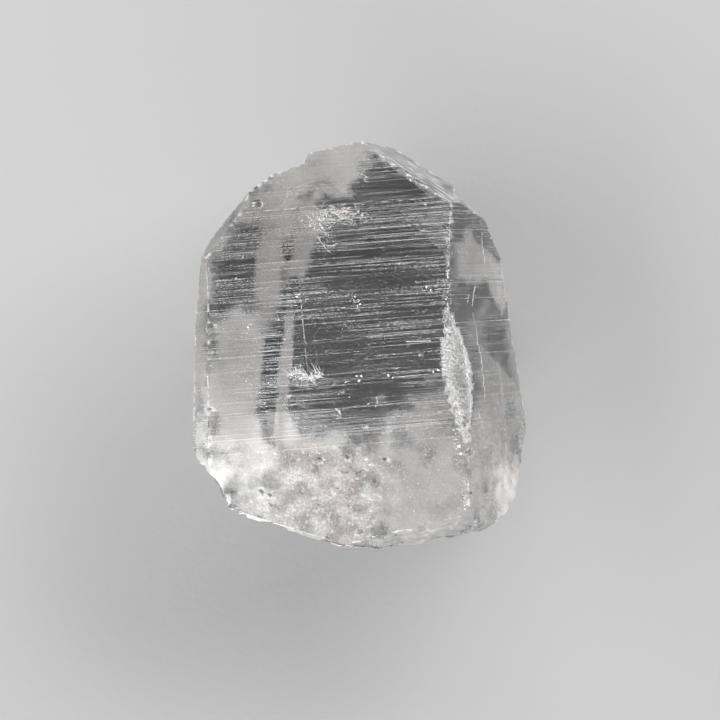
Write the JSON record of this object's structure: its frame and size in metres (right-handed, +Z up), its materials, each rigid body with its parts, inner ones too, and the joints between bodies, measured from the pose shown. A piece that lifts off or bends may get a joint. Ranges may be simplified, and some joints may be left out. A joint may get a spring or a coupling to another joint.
{
  "type": "lemurian quartz crystal",
  "caption": "Stout clear quartz crystal with ladder-like growth ledges, a natural point and a milky, broken base, lying on one prism face.",
  "frame": {"origin": "under the middle of the crystal's box, on the surface it lies on", "axes": "+Z up from the prism face it lies on, +Y towards the point, +X to the right seen from above"},
  "size_m": [0.0462, 0.0554, 0.026],
  "materials": {
    "clear_quartz": "clear, with etched ledges on the prism faces and milky frost towards the broken base"
  },
  "bodies": {
    "root": {"crystal": "clear_quartz"}
  },
  "joints": []
}
